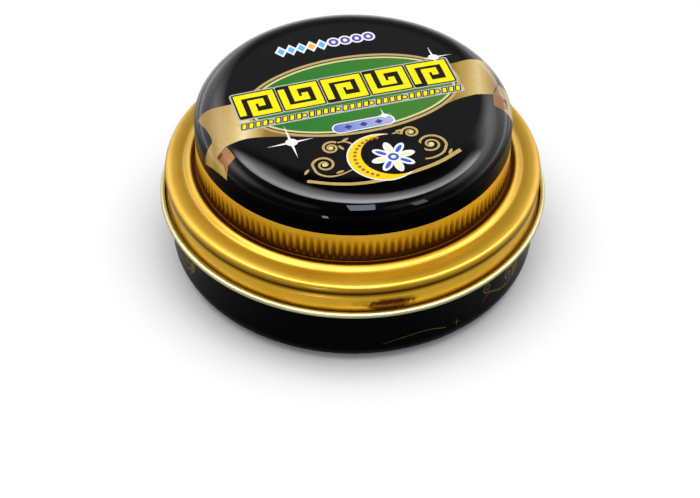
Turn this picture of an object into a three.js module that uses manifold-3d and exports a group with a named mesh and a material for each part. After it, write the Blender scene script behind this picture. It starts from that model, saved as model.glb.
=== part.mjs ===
// A round slip-lid tin of paste polish, in millimetres, +Z up.
// The origin is the centre of the base, on the surface that the tin stands on, and Z is the tin's axis.
// From the bottom up: the base cup with its cake of wax, a plastic cover disc over the wax, a round
// foam applicator standing on the disc, a sealing ring, and the stepped lid that slips over them all.

import * as THREE from "three";
import { mergeVertices } from "three/addons/utils/BufferGeometryUtils.js";
import Module from "manifold-3d";

// Driving dimensions
const ROUND_SEGMENTS = 60; // facets round every turned piece
const SHEET = 0.5; // thickness of the tinplate
const CLEARANCE = 0.3; // between pieces that touch or nearly touch

const BASE_RADIUS = 53; // outside of the base cup's wall
const BASE_HEIGHT = 27.4; // top of the base cup's rolled rim
const BASE_CORNER = 6.5; // radius between wall and bottom
const FOOT_WIDTH = 3; // flat ring that the tin stands on
const PANEL_RISE = 0.8; // bottom panel above the foot ring
const PANEL_SLOPE = 1; // width of the slope between the foot ring and the panel
const BASE_RIM_ROLL = 0.6; // radius of the rim rolled inwards
const RIM_TAPER = 0.6; // height over which the rolled rim thins to the wall

const LID_HEIGHT = 53.4; // top of the crown above the ground
const CROWN_RISE = 0.4; // the crown's middle above the start of its shoulder
const DOME_RADIUS = 45.1; // outside of the dome and the knurled neck
const DOME_CORNER_R = 11.7; // the dome's soft shoulder, measured across
const DOME_CORNER_Z = 7.3; // and measured down
const ENAMEL_EDGE = 41; // where the dome's black enamel ends and the gold neck begins
const NECK_BOTTOM = 32.9; // where the neck ends and the annular step begins
const NECK_WALL = 0.8; // the neck's thickness, ridges included
const STEP_TOP = 30.15; // top of the step's rounded rim
const STEP_RADIUS = 54.2; // outside of the step's rounded rim
const STEP_CORNER = 1.5; // radius of that rim
const SKIRT_RADIUS = 53.85; // outside of the skirt under the rim
const GROOVE_DEPTH = 0.2; // line pressed between rim and skirt
const GROOVE_TOP = 27.9;
const GROOVE_BOTTOM = 26.7;
const GROOVE_FLANK = 0.3; // height of the groove's slanted sides
const CURL_RADIUS = 0.95; // the wire-like curl along the skirt's edge
const CURL_CENTRE_R = 55.05;
const CURL_CENTRE_Z = 20.92;

const KNURL_COUNT = 140;
const KNURL_DEPTH = 0.45;
const KNURL_HALF_WIDTH = 0.55; // half the width of a groove at the neck's surface
const KNURL_OVERCUT = 0.3; // how far the cutting wedges reach out of the neck
const KNURL_LOW = 33.3;
const KNURL_HIGH = 39.4;

const WAX_LEVEL = 19.8; // flat middle of the wax
const WAX_MENISCUS = 0.8; // how far the wax climbs at the wall
const MENISCUS_WIDTH = 5; // how far from the wall the climb starts

const COVER_RADIUS = 52.7; // flange of the cover disc, resting on the base's rim
const COVER_SHEET = 0.5;
const COVER_DEPTH = 1.8; // how far the disc's floor lies below its flange
const COVER_FLOOR_RADIUS = 50.2;
const COVER_SLOPE = 0.8; // width of the slope between floor and flange
const TAB_SIZE = [1, 12, 3.2]; // finger tab on the disc: thick, wide, high
const TAB_RADIUS = 46;

const SPONGE_RADIUS = 38.5;
const SPONGE_HEIGHT = 17.5;
const SPONGE_EDGE = 1.6; // softened edge

const SEAL_INNER = 49.6;
const SEAL_OUTER = 52.4;
const SEAL_HEIGHT = 0.8;
const SEAL_TILT = 0.3; // the inner edge is this much higher, as the step above it is

// Heights that follow from the ones above
const FLANGE_BOTTOM = BASE_HEIGHT + CLEARANCE;
const FLANGE_TOP = FLANGE_BOTTOM + COVER_SHEET;
const COVER_FLOOR = FLANGE_TOP - COVER_DEPTH;
const SPONGE_BOTTOM = COVER_FLOOR + CLEARANCE;
const SEAL_BOTTOM = FLANGE_TOP + CLEARANCE;

const wasm = await Module();
wasm.setup();

function material(colour, roughness, metalness) {
  return new THREE.MeshStandardMaterial({ color: colour, roughness, metalness });
}

// Points along an arc, by angle in degrees: 0 points outwards, 90 points up.
function arc(centreR, centreZ, radiusR, radiusZ, fromAngle, toAngle, steps) {
  const points = [];
  for (let i = 0; i <= steps; i += 1) {
    const angle = THREE.MathUtils.degToRad(fromAngle + ((toAngle - fromAngle) * i) / steps);
    points.push([centreR + radiusR * Math.cos(angle), centreZ + radiusZ * Math.sin(angle)]);
  }
  return points;
}

// A solid of revolution about Z. The outline runs anticlockwise in the (radius, height) plane.
function turned(outline) {
  const points = outline.map(([radius, height]) => new THREE.Vector2(radius, height));
  return new THREE.LatheGeometry(points, ROUND_SEGMENTS).rotateX(Math.PI / 2);
}

function closed(outline) {
  return [...outline, outline[0]];
}

function toSolid(geometry) {
  const bare = geometry.clone();
  bare.deleteAttribute("normal");
  bare.deleteAttribute("uv");
  const merged = mergeVertices(bare, 1e-4);
  const corners = merged.index.array;
  const triangles = [];
  for (let i = 0; i < corners.length; i += 3) {
    const [a, b, c] = corners.slice(i, i + 3);
    if (a !== b && b !== c && c !== a) triangles.push(a, b, c);
  }
  return new wasm.Manifold(
    new wasm.Mesh({
      numProp: 3,
      vertProperties: new Float32Array(merged.attributes.position.array),
      triVerts: new Uint32Array(triangles),
    }),
  );
}

function toGeometry(solid) {
  const mesh = solid.getMesh();
  const geometry = new THREE.BufferGeometry();
  geometry.setAttribute("position", new THREE.BufferAttribute(mesh.vertProperties, 3));
  geometry.setIndex(new THREE.BufferAttribute(mesh.triVerts, 1));
  geometry.computeVertexNormals();
  return geometry;
}

function piece(name, geometry, look) {
  const mesh = new THREE.Mesh(geometry, look);
  mesh.name = name;
  return mesh;
}

// The drawn cup: a flat foot ring, a slightly raised panel, rounded corner, straight wall, rolled rim.
function makeBase() {
  const cornerR = BASE_RADIUS - BASE_CORNER;
  const rollR = BASE_RADIUS - BASE_RIM_ROLL;
  const rollZ = BASE_HEIGHT - BASE_RIM_ROLL;
  const inner = BASE_CORNER - SHEET;
  return turned([
    [0, PANEL_RISE],
    [cornerR - FOOT_WIDTH - PANEL_SLOPE, PANEL_RISE],
    [cornerR - FOOT_WIDTH, 0],
    ...arc(cornerR, BASE_CORNER, BASE_CORNER, BASE_CORNER, -90, 0, 4),
    ...arc(rollR, rollZ, BASE_RIM_ROLL, BASE_RIM_ROLL, 0, 180, 4),
    [rollR - BASE_RIM_ROLL, rollZ - RIM_TAPER],
    [BASE_RADIUS - SHEET, rollZ - 2 * RIM_TAPER],
    ...arc(cornerR, BASE_CORNER, inner, inner, 0, -90, 3),
    [cornerR - FOOT_WIDTH + PANEL_SLOPE / 4, SHEET],
    [cornerR - FOOT_WIDTH - (PANEL_SLOPE * 3) / 4, PANEL_RISE + SHEET],
    [0, PANEL_RISE + SHEET],
  ]);
}

// The poured cake follows the cup and climbs a little at the wall.
function makeWax() {
  const bottom = PANEL_RISE + SHEET + CLEARANCE;
  const corner = BASE_CORNER - SHEET - CLEARANCE;
  const cornerR = BASE_RADIUS - BASE_CORNER;
  const lowest = THREE.MathUtils.radToDeg(Math.asin((bottom - BASE_CORNER) / corner));
  const wall = cornerR + corner;
  return turned([
    [0, bottom],
    ...arc(cornerR, BASE_CORNER, corner, corner, lowest, 0, 3),
    [wall, WAX_LEVEL + WAX_MENISCUS],
    [wall - MENISCUS_WIDTH / 3, WAX_LEVEL + WAX_MENISCUS / 3],
    [wall - MENISCUS_WIDTH, WAX_LEVEL],
    [0, WAX_LEVEL],
  ]);
}

// A thin moulded disc: its flange rests on the base's rim, its floor carries the applicator,
// and a small upright tab lets two fingers pull it out.
function makeCover() {
  const disc = turned([
    [0, COVER_FLOOR - COVER_SHEET],
    [COVER_FLOOR_RADIUS, COVER_FLOOR - COVER_SHEET],
    [COVER_FLOOR_RADIUS + COVER_SLOPE, FLANGE_BOTTOM],
    [COVER_RADIUS, FLANGE_BOTTOM],
    [COVER_RADIUS, FLANGE_TOP],
    [COVER_FLOOR_RADIUS + COVER_SLOPE - COVER_SHEET, FLANGE_TOP],
    [COVER_FLOOR_RADIUS - COVER_SHEET, COVER_FLOOR],
    [0, COVER_FLOOR],
  ]);
  const [thick, wide, high] = TAB_SIZE;
  const root = 0.2; // the tab starts inside the disc's floor
  const tab = new THREE.BoxGeometry(thick, wide, high + root);
  tab.translate(-TAB_RADIUS, 0, COVER_FLOOR - root + (high + root) / 2);
  return toGeometry(toSolid(disc).add(toSolid(tab)));
}

function makeSponge() {
  const top = SPONGE_BOTTOM + SPONGE_HEIGHT;
  const edgeR = SPONGE_RADIUS - SPONGE_EDGE;
  return turned([
    [0, SPONGE_BOTTOM],
    ...arc(edgeR, SPONGE_BOTTOM + SPONGE_EDGE, SPONGE_EDGE, SPONGE_EDGE, -90, 0, 2),
    ...arc(edgeR, top - SPONGE_EDGE, SPONGE_EDGE, SPONGE_EDGE, 0, 90, 2),
    [0, top],
  ]);
}

// The ring of sealing compound, under the lid's step and over the cover's flange.
function makeSeal() {
  return turned(
    closed([
      [SEAL_INNER, SEAL_BOTTOM],
      [SEAL_OUTER, SEAL_BOTTOM],
      [SEAL_OUTER, SEAL_BOTTOM + SEAL_HEIGHT],
      [SEAL_INNER, SEAL_BOTTOM + SEAL_HEIGHT + SEAL_TILT],
    ]),
  );
}

// The annular step between neck and rim: a small crest, then a shallow dish.
function stepCurve(offset) {
  const crest = [
    [45.6 - offset / 2, 31.9],
    [46.4 - offset / 2, 31.4],
    [47.3, 31.5],
    [48.4, 31.05],
    [49.8, 30.6],
    [51.2, 30.35],
  ];
  return crest.map(([radius, height]) => [radius, height - offset]);
}

// One drawn shell: crown, soft shoulder, upright neck, step, rounded rim, groove, skirt and curl.
function makeLidShell() {
  const shoulderR = DOME_RADIUS - DOME_CORNER_R;
  const shoulderZ = LID_HEIGHT - CROWN_RISE - DOME_CORNER_Z;
  const rimR = STEP_RADIUS - STEP_CORNER;
  const rimZ = STEP_TOP - STEP_CORNER;
  const skirtInner = SKIRT_RADIUS - SHEET;
  const crownOf = (share) => LID_HEIGHT - CROWN_RISE * share * share;
  const outside = [
    [0, LID_HEIGHT],
    [shoulderR * 0.5, crownOf(0.5)],
    ...arc(shoulderR, shoulderZ, DOME_CORNER_R, DOME_CORNER_Z, 90, 0, 6),
    [DOME_RADIUS, ENAMEL_EDGE],
    [DOME_RADIUS, NECK_BOTTOM],
    ...stepCurve(0),
    ...arc(rimR, rimZ, STEP_CORNER, STEP_CORNER, 90, 0, 3),
    [STEP_RADIUS, GROOVE_TOP],
    [SKIRT_RADIUS - GROOVE_DEPTH, GROOVE_TOP - GROOVE_FLANK],
    [SKIRT_RADIUS - GROOVE_DEPTH, GROOVE_BOTTOM + GROOVE_FLANK],
    [SKIRT_RADIUS, GROOVE_BOTTOM],
    [SKIRT_RADIUS, CURL_CENTRE_Z + 0.2],
    ...arc(CURL_CENTRE_R, CURL_CENTRE_Z, CURL_RADIUS, CURL_RADIUS, 180, -90, 7),
    [skirtInner + 0.4, CURL_CENTRE_Z - CURL_RADIUS],
  ];
  const inside = [
    [skirtInner, CURL_CENTRE_Z - CURL_RADIUS + 0.4],
    [skirtInner, rimZ - 0.4],
    ...arc(rimR, rimZ, STEP_CORNER - SHEET, STEP_CORNER - SHEET, 0, 90, 2),
    ...stepCurve(SHEET).slice(2).reverse(),
    [DOME_RADIUS - NECK_WALL + 0.6, 31.3],
    [DOME_RADIUS - NECK_WALL, NECK_BOTTOM],
    [DOME_RADIUS - NECK_WALL, KNURL_HIGH + 0.6],
    [DOME_RADIUS - SHEET, KNURL_HIGH + 1.4],
    ...arc(shoulderR, shoulderZ, DOME_CORNER_R - SHEET, DOME_CORNER_Z - SHEET, 0, 90, 5),
    [shoulderR * 0.5, crownOf(0.5) - SHEET],
    [0, LID_HEIGHT - SHEET],
  ];
  return turned([...outside, ...inside].reverse());
}

// The grooves between the neck's ridges, as one solid of upright wedges to cut from the shell.
function makeKnurlCutter() {
  const wedges = [];
  for (let i = 0; i < KNURL_COUNT; i += 1) {
    const angle = ((i + 0.5) / KNURL_COUNT) * Math.PI * 2;
    const outer = DOME_RADIUS + KNURL_OVERCUT;
    const spread = (KNURL_HALF_WIDTH * (KNURL_DEPTH + KNURL_OVERCUT)) / KNURL_DEPTH / outer;
    const tip = DOME_RADIUS - KNURL_DEPTH;
    const corner = (radius, turn) =>
      new THREE.Vector2(radius * Math.cos(angle + turn), radius * Math.sin(angle + turn));
    wedges.push(new THREE.Shape([corner(tip, 0), corner(outer, -spread), corner(outer, spread)]));
  }
  const options = { depth: KNURL_HIGH - KNURL_LOW, bevelEnabled: false };
  const cutter = new THREE.ExtrudeGeometry(wedges, options);
  return cutter.translate(0, 0, KNURL_LOW);
}

function makeLid() {
  return toGeometry(toSolid(makeLidShell()).subtract(toSolid(makeKnurlCutter())));
}

const blackEnamel = material(0x0a0a0c, 0.15, 0.3);
const goldLacquer = material(0xd9a21f, 0.3, 0.9);
const paleWax = material(0xe9dca4, 0.55, 0);
const milkyPlastic = material(0xeef0ee, 0.4, 0);
const yellowFoam = material(0xf0cf4a, 0.95, 0);
const greyCompound = material(0x8b8f92, 0.8, 0);

const group = new THREE.Group();
group.add(piece("tin_base", makeBase(), blackEnamel));
group.add(piece("wax_cake", makeWax(), paleWax));
group.add(piece("cover_disc", makeCover(), milkyPlastic));
group.add(piece("applicator_sponge", makeSponge(), yellowFoam));
group.add(piece("sealing_ring", makeSeal(), greyCompound));
group.add(piece("stepped_lid", makeLid(), goldLacquer));

export default group;
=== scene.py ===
import math

import bmesh
import bpy
import numpy as np
from mathutils import Matrix, Vector, noise
from mathutils.geometry import delaunay_2d_cdt


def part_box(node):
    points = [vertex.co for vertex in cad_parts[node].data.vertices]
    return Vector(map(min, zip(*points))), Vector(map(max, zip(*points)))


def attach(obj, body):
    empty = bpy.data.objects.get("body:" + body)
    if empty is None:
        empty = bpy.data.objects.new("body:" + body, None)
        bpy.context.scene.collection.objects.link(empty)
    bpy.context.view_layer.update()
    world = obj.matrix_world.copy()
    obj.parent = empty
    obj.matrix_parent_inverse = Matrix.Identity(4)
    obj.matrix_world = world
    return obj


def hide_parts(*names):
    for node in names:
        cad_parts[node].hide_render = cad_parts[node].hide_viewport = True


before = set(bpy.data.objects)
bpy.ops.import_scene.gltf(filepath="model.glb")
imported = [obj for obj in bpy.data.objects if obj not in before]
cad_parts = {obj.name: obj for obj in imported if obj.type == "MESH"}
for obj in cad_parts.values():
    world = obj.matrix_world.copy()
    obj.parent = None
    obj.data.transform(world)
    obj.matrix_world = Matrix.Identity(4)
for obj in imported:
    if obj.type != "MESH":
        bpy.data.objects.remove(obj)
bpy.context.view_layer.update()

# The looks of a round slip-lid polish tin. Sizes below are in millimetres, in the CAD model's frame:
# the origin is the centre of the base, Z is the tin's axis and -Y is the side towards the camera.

MM = 0.001


def corners(node):
    """A node's lowest and highest corner, in millimetres."""
    return [[value / MM for value in place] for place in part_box(node)]


# Sizes from the frame
(_, _, LID_EDGE_Z), (CURL_OUTER, _, LID_TOP) = corners("stepped_lid")
_, (BASE_RADIUS, _, BASE_TOP) = corners("tin_base")
(_, _, WAX_BOTTOM), (WAX_RADIUS, _, WAX_TOP) = corners("wax_cake")
(_, _, COVER_BOTTOM), (COVER_RADIUS, _, _) = corners("cover_disc")
(_, _, SPONGE_LOW), (SPONGE_RADIUS, _, SPONGE_HIGH) = corners("applicator_sponge")
(_, _, SEAL_LOW), (SEAL_OUTER, _, SEAL_HIGH) = corners("sealing_ring")

# The lid's shape
CROWN_RISE = 0.4
DOME_RADIUS = 45.1
DOME_CORNER_R, DOME_CORNER_Z = 11.7, 7.3
CROWN_RADIUS = DOME_RADIUS - DOME_CORNER_R
SHOULDER_Z = LID_TOP - CROWN_RISE - DOME_CORNER_Z
ENAMEL_EDGE = 41.0
NECK_BOTTOM = 31.75
SHEET = 0.5
STEP_TOP, STEP_RADIUS, STEP_CORNER = 30.15, 54.2, 1.5
# From the neck's foot over the small crest and the dish towards the rounded rim: radius, height
STEP_FOOT = [(45.13, 31.64), (45.22, 31.56), (45.4, 31.53)]
STEP_CURVE = [(46.0, 31.55), (46.5, 31.6), (46.9, 31.6), (47.5, 31.42), (48.2, 31.03), (48.8, 30.76),
              (49.5, 30.66), (50.4, 30.59), (51.5, 30.44), (52.4, 30.27), (53.0, 30.12)]
SKIRT_RADIUS = 53.85
GROOVE_TOP, GROOVE_BOTTOM, GROOVE_DEPTH = 28.0, 26.6, 0.3
CURL_RADIUS = 0.78
CURL_R = CURL_OUTER - CURL_RADIUS
CURL_Z = LID_EDGE_Z + CURL_RADIUS
CURL_START, CURL_SEAM = 172, 124  # degrees round it: where it leaves the skirt, where pale lacquer starts
RIM_SLOPE = 76  # degrees round the step's rim where the dish meets it

KNURLS = 140
KNURL_DEPTH = 0.55
KNURL_FADE_TOP, KNURL_FADE_FOOT = 4.5, 1.8  # how far the grooves take to reach their full depth
STEPS_PER_KNURL = 8

# The base's shape
BASE_CORNER = 6.5
FOOT_R = BASE_RADIUS - BASE_CORNER
FOOT_WIDTH = 3.0
PANEL_RISE = 0.8
PANEL_BEAD, PANEL_BEAD_HALF, PANEL_BEAD_RISE = 30.2, 0.8, 0.22  # radius, half width, height
RIM_ROLL = 0.6

# What the tin holds
MENISCUS = 0.86  # how far the wax's face lies under its edge at the wall
SWIRL_RISE, SWIRL_PITCH = 0.1, 3.1
COVER_SHEET = 0.5
COVER_DEPTH = 2.3
COVER_TRAY = 49.2
COVER_BEADS, COVER_BEAD_RISE = (24, 38), 0.16
TAB_THICK, TAB_WIDE, TAB_HIGH, TAB_RADIUS, TAB_CORNER, TAB_EDGE = 1.0, 12.0, 3.2, 46.0, 1.6, 0.14
SPONGE_EDGE, SPONGE_WAIST, SPONGE_CROWN = 2.6, 0.7, 0.4
SPONGE_PITS = ((0.32, 0.9), (0.22, 2.3))  # depth, and waves per millimetre
SEAL_INNER, SEAL_WANDER = 49.6, 0.22

ROUND = 280  # steps round every turned surface; a whole number of steps fits each knurl
FINE_ROUND = KNURLS * STEPS_PER_KNURL


# ---------------- curves and outlines

def arc(centre_r, centre_z, radius_r, radius_z, start, stop, steps):
    """Points along an arc in degrees: 0 points outwards and 90 upwards."""
    angles = np.radians(np.linspace(start, stop, steps + 1))
    return [(centre_r + radius_r * math.cos(a), centre_z + radius_z * math.sin(a)) for a in angles]


def flowing(points, steps, closed=False):
    """A smooth curve through a few points (Catmull-Rom)."""
    knots = [np.array(p, float) for p in points]
    if closed:
        knots = [knots[-1], *knots, knots[0], knots[1]]
    else:
        knots = [2 * knots[0] - knots[1], *knots, 2 * knots[-1] - knots[-2]]
    curve = []
    for a, b, c, d in zip(knots, knots[1:], knots[2:], knots[3:]):
        for i in range(steps):
            t = i / steps
            curve.append(0.5 * (2 * b + (c - a) * t + (2 * a - 5 * b + 4 * c - d) * t**2
                                + (3 * b - a - 3 * c + d) * t**3))
    if not closed:
        curve.append(knots[-2])
    return [tuple(p) for p in curve]


# ---------------- mesh building

class Shell:
    """Collects rings, patches and their material slots, and makes one closed mesh of them."""

    def __init__(self):
        self.points = []
        self.faces = []
        self.slots = []
        self.normals = {}

    def point(self, place, normal=None):
        self.points.append(place)
        if normal is not None:
            self.normals[len(self.points) - 1] = normal
        return len(self.points) - 1

    def ring(self, radius, height, count=ROUND, dent=None):
        """Points round the axis. dent(angle) moves each one inwards."""
        ids = []
        for angle in (2 * math.pi * i / count for i in range(count)):
            r = radius - (dent(angle) if dent else 0)
            ids.append(self.point((r * math.cos(angle), r * math.sin(angle), height)))
        return ids

    def bridge(self, first, second, slot):
        """Faces between two rings, where one may have a whole multiple of the other's points."""
        if len(first) > len(second):
            first, second = second, first
        many = len(second) // len(first)
        for i in range(len(first)):
            fan = [second[(i * many + k) % len(second)] for k in range(many + 1)]
            self.faces.append([first[i], *fan, first[(i + 1) % len(first)]])
            self.slots.append(slot)

    def cap(self, ring, height, slot):
        """Closes a ring to one point on the axis."""
        tip = self.point((0.0, 0.0, height))
        for i, a in enumerate(ring):
            self.faces.append([a, ring[(i + 1) % len(ring)], tip])
            self.slots.append(slot)

    def turn(self, ring, profile, slot):
        """Carries a ring along a profile and gives back the last ring."""
        for radius, height in profile:
            following = self.ring(radius, height)
            self.bridge(ring, following, slot)
            ring = following
        return ring

    def build(self, name, materials, body, nodes, sharp=50.0):
        """The finished object: faces turned outwards, smooth, riding on a body."""
        mesh = bpy.data.meshes.new(name)
        mesh.from_pydata([[c * MM for c in p] for p in self.points], [], self.faces)
        for material in materials:
            mesh.materials.append(material)
        mesh.polygons.foreach_set("material_index", self.slots)
        obj = bpy.data.objects.new(name, mesh)
        bpy.context.scene.collection.objects.link(obj)
        face_outwards(mesh)
        mesh.shade_smooth()
        mesh.set_sharp_from_angle(angle=math.radians(sharp))
        if self.normals:
            split = [self.normals.get(loop.vertex_index, (0, 0, 0)) for loop in mesh.loops]
            mesh.normals_split_custom_set(split)
        finish_piece(obj, body, nodes)
        return obj


def face_outwards(mesh):
    work = bmesh.new()
    work.from_mesh(mesh)
    bmesh.ops.recalc_face_normals(work, faces=work.faces)
    work.to_mesh(mesh)
    work.free()


def finish_piece(obj, body, nodes):
    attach(obj, body)
    if nodes:
        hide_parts(*nodes)


# ---------------- flat artwork outlines

def turned(points, degrees, centre=(0, 0)):
    """Points turned about the origin, then moved."""
    c, s = math.cos(math.radians(degrees)), math.sin(math.radians(degrees))
    return [(x * c - y * s + centre[0], x * s + y * c + centre[1]) for x, y in points]


def oval(x, y, half_width, half_height, steps, degrees=0):
    angles = [2 * math.pi * i / steps for i in range(steps)]
    return turned([(half_width * math.cos(a), half_height * math.sin(a)) for a in angles], degrees, (x, y))


def rounded_box(x, y, half_width, half_height, radius, steps=4):
    outline = []
    for quarter, (sx, sy) in enumerate([(1, 1), (-1, 1), (-1, -1), (1, -1)]):
        cx, cy = x + sx * (half_width - radius), y + sy * (half_height - radius)
        for i in range(steps + 1):
            a = math.radians(90 * (quarter + i / steps))
            outline.append((cx + radius * math.cos(a), cy + radius * math.sin(a)))
    return outline


def stroke(path, width, start=1.0, stop=1.0):
    """The outline of a pen line along a path. start and stop scale its width at the ends."""
    path = [np.array(p, float) for p in path]
    left, right = [], []
    for i, p in enumerate(path):
        before = p - path[i - 1] if i else path[1] - p
        after = path[i + 1] - p if i + 1 < len(path) else p - path[i - 1]
        before, after = before / np.hypot(*before), after / np.hypot(*after)
        mid = before + after
        mid /= np.hypot(*mid)
        stretch = 1 / max(0.5, float(mid @ after))
        share = i / (len(path) - 1)
        half = width / 2 * (start + (stop - start) * share) * stretch
        across = np.array([-mid[1], mid[0]]) * half
        left.append(tuple(p + across))
        right.append(tuple(p - across))
    return left + right[::-1]


def spiral(x, y, outer, inner, turns, start, way):
    """A path that winds inwards from outer to inner radius. way is 1 for anticlockwise."""
    steps = int(turns * 22)
    path = []
    for i in range(steps + 1):
        share = i / steps
        radius = outer + (inner - outer) * share**0.8
        angle = math.radians(start) + way * 2 * math.pi * turns * share
        path.append((x + radius * math.cos(angle), y + radius * math.sin(angle)))
    return path


def sparkle(x, y, arms, waist, degrees):
    """A star of four thin arms, given by their lengths, with a small round middle."""
    outline = []
    for i, length in enumerate(arms):
        outline += turned([(length, 0)], degrees + 90 * i, (x, y))
        outline += turned([(waist, 0)], degrees + 90 * i + 45, (x, y))
    return outline


# ---------------- the lid's printed picture
# Drawn flat, in millimetres along the sheet from the middle of the dome, and then laid over it.

PRINT_TILT = 17.0  # the title's baseline rises to the right by this many degrees


def anticlockwise(points):
    twice_area = sum(a[0] * b[1] - b[0] * a[1] for a, b in zip(points, points[1:] + points[:1]))
    return points if twice_area > 0 else points[::-1]


# The banner that crosses the dome behind the title: its band, the tail at each end, and the fold
# between them. Each outline is drawn in smooth stretches; the number is the points between knots.
BAND = [([(-44.8, -6.6), (-41.5, -5.0), (-34, -4.2), (-20, 1.0), (0, 8.0), (20, 13.4), (28.5, 15.6),
          (33, 18.0), (38.4, 20.6)], 5),
        ([(39.9, 17.0), (40.9, 13.6), (41.3, 9.0), (40.2, 5.5), (39.5, 2.8)], 4),
        ([(34.5, 1.4), (29.5, -0.9), (24, -4.6), (10, -13.0), (-6, -18.0), (-20, -18.3), (-28, -18.9),
          (-35.2, -21.0)], 5),
        ([(-38.2, -23.6), (-39.2, -19.5), (-39.6, -16.3), (-41.2, -12.6), (-43.2, -9.3)], 4)]
LEFT_TAIL = [([(-45.6, -21.6), (-42.4, -20.2), (-39.3, -18.0)], 4),
             ([(-38.4, -21.6), (-37.6, -24.0), (-35.4, -23.4), (-34.6, -26.9), (-36.3, -31.0)], 4),
             ([(-38.6, -28.2), (-41.2, -25.4)], 3)]
RIGHT_TAIL = [([(39.6, 3.0), (40.9, 6.0), (41.6, 8.8), (44.0, 8.3), (47.6, 6.6), (50.6, 4.8)], 4),
              ([(50.4, -2.4), (47.6, -3.4), (45.2, -3.4), (42.4, -2.6), (39.6, -2.2)], 4)]
LEFT_FOLD = [(-37.9, -24.1), (-35.0, -20.9), (-33.7, -22.9), (-32.2, -25.4), (-34.6, -27.2),
             (-35.9, -29.4), (-36.2, -26.6)]
RIGHT_FOLD = [(39.5, 2.9), (39.6, -2.2), (42.6, -2.7), (44.2, -1.0), (44.6, 2.2), (42.4, 3.4)]


def ribbon():
    """The banner, back to front."""
    left_tail, right_tail, band = (
        [point for knots, steps in outline for point in flowing(knots, steps)]
        for outline in (LEFT_TAIL, RIGHT_TAIL, BAND))
    return [("ribbon_tail", left_tail), ("ribbon_tail", right_tail), ("ribbon_fold", LEFT_FOLD),
            ("ribbon_fold", RIGHT_FOLD), ("ribbon", band),
            ("ribbon_shade", oval(-37.0, -23.4, 1.1, 0.7, 16, 30)),
            ("ribbon_shade", oval(43.3, 2.0, 1.2, 0.8, 16, 60))]


def oval_field():
    """The green field with its double gold line."""
    insets = (("gold", 0), ("dark_green", 0.95), ("pale_gold", 1.5), ("green", 2.2))
    return [(slot, oval(0, 0.6, 31.3 - inset, 17.4 - inset, 120)) for slot, inset in insets]


TILE_COUNT = 5
TILE_PITCH = 12.75
TILE_HALF = (5.75, 5.1)
TILES_MIDDLE = (-1.5, 3.95)
TILE_LINE = 1.9
KEY_STEP = 0.36  # how far the meander steps inwards, as a share of the tile


def key_path(x, y, half_width, half_height, flip):
    """A square meander that winds into the middle of its tile."""
    w, h, left = half_width, half_height, half_width * (2 * KEY_STEP - 1)
    up = half_height * (1 - 2 * KEY_STEP)
    path = [(-w, -h), (-w, h), (w, h), (w, -h), (left, -h), (left, up), (-left, up), (-left, -up)]
    return [(x + px, y + (-py if flip else py)) for px, py in path]


def title():
    """Five meander tiles in yellow, with a black line and a silver border round each."""
    (wide, high), (x, y) = TILE_HALF, TILES_MIDDLE
    centres = [(x + (i - (TILE_COUNT - 1) / 2) * TILE_PITCH, y) for i in range(TILE_COUNT)]
    shapes = [("silver", rounded_box(*centre, wide + 1.0, high + 0.95, 1.1)) for centre in centres]
    shapes.append(("silver", rounded_box(x, ROW_Y, 32.6, 1.75, 0.9)))
    for i, centre in enumerate(centres):
        path = key_path(*centre, wide - TILE_LINE / 2, high - TILE_LINE / 2, i % 2 == 1)
        shapes += [("black_line", rounded_box(*centre, wide + 0.5, high + 0.5, 0.6)),
                   ("yellow", stroke(path, TILE_LINE))]
    return shapes


# The small border under the title: its height, where it starts and ends, the gap between its marks,
# and how the bars lean
ROW_Y, ROW_START, ROW_END, ROW_GAP, ROW_LEAN = -4.75, -33.6, 30.4, 0.95, 0.5
DOT_EVERY = 5


def bead_row():
    """A small running border of slanted bars and dots under the title."""
    shapes = []
    x, y, count = ROW_START, ROW_Y, 1
    while x < ROW_END:
        if count % DOT_EVERY == 0:
            wide = 0.75
            rim, fill = (oval(x + wide / 2, y, size, size, steps)
                         for size, steps in ((0.95, 14), (0.6, 12)))
        else:
            wide = 1.05
            fill = [(x, y - 0.95), (x + wide, y - 0.95), (x + wide + ROW_LEAN, y + 0.95),
                    (x + ROW_LEAN, y + 0.95)]
            rim = [(x - 0.42, y - 1.3), (x + wide + 0.3, y - 1.3), (x + wide + 0.95, y + 1.3),
                   (x + 0.2, y + 1.3)]
        shapes += [("black_line", rim), ("yellow", fill)]
        x += wide + ROW_GAP
        count += 1
    return shapes


def lozenge(x, y, half_width, half_height):
    return [(x - half_width, y), (x, y + half_height), (x + half_width, y), (x, y - half_height)]


# Rows of ornament over the green field: the first one's place, and the pitch
LOZENGES, RINGS = ((-14.2, 25.3), 3.05), ((1.6, 25.5), 3.5)


def top_ornament():
    """A short row of lozenges and rings, with no meaning."""
    shapes = []
    (x, y), pitch = LOZENGES
    for i in range(5):
        shapes += [("white", lozenge(x + i * pitch, y, 1.9, 2.7)),
                   ("amber" if i == 3 else "sky_blue", lozenge(x + i * pitch, y, 1.15, 1.75))]
    (x, y), pitch = RINGS
    for i in range(4):
        for slot, wide, high, steps in (("white", 2.0, 2.2, 28), ("violet", 1.45, 1.65, 24),
                                        ("white", 0.6, 0.75, 16)):
            shapes.append((slot, oval(x + i * pitch, y, wide, high, steps)))
    return shapes


PILL_MIDDLE = (-1.0, -13.1)


def pill():
    """A pale blue pill with three small diamonds."""
    x, y = PILL_MIDDLE
    shapes = [("white", rounded_box(x, y, 9.0, 2.15, 2.1, 8)),
              ("pill", rounded_box(x, y, 8.6, 1.8, 1.78, 8))]
    return shapes + [("navy", lozenge(x + shift, y, 1.2, 1.05)) for shift in (-4.4, 0, 4.4)]


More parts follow.
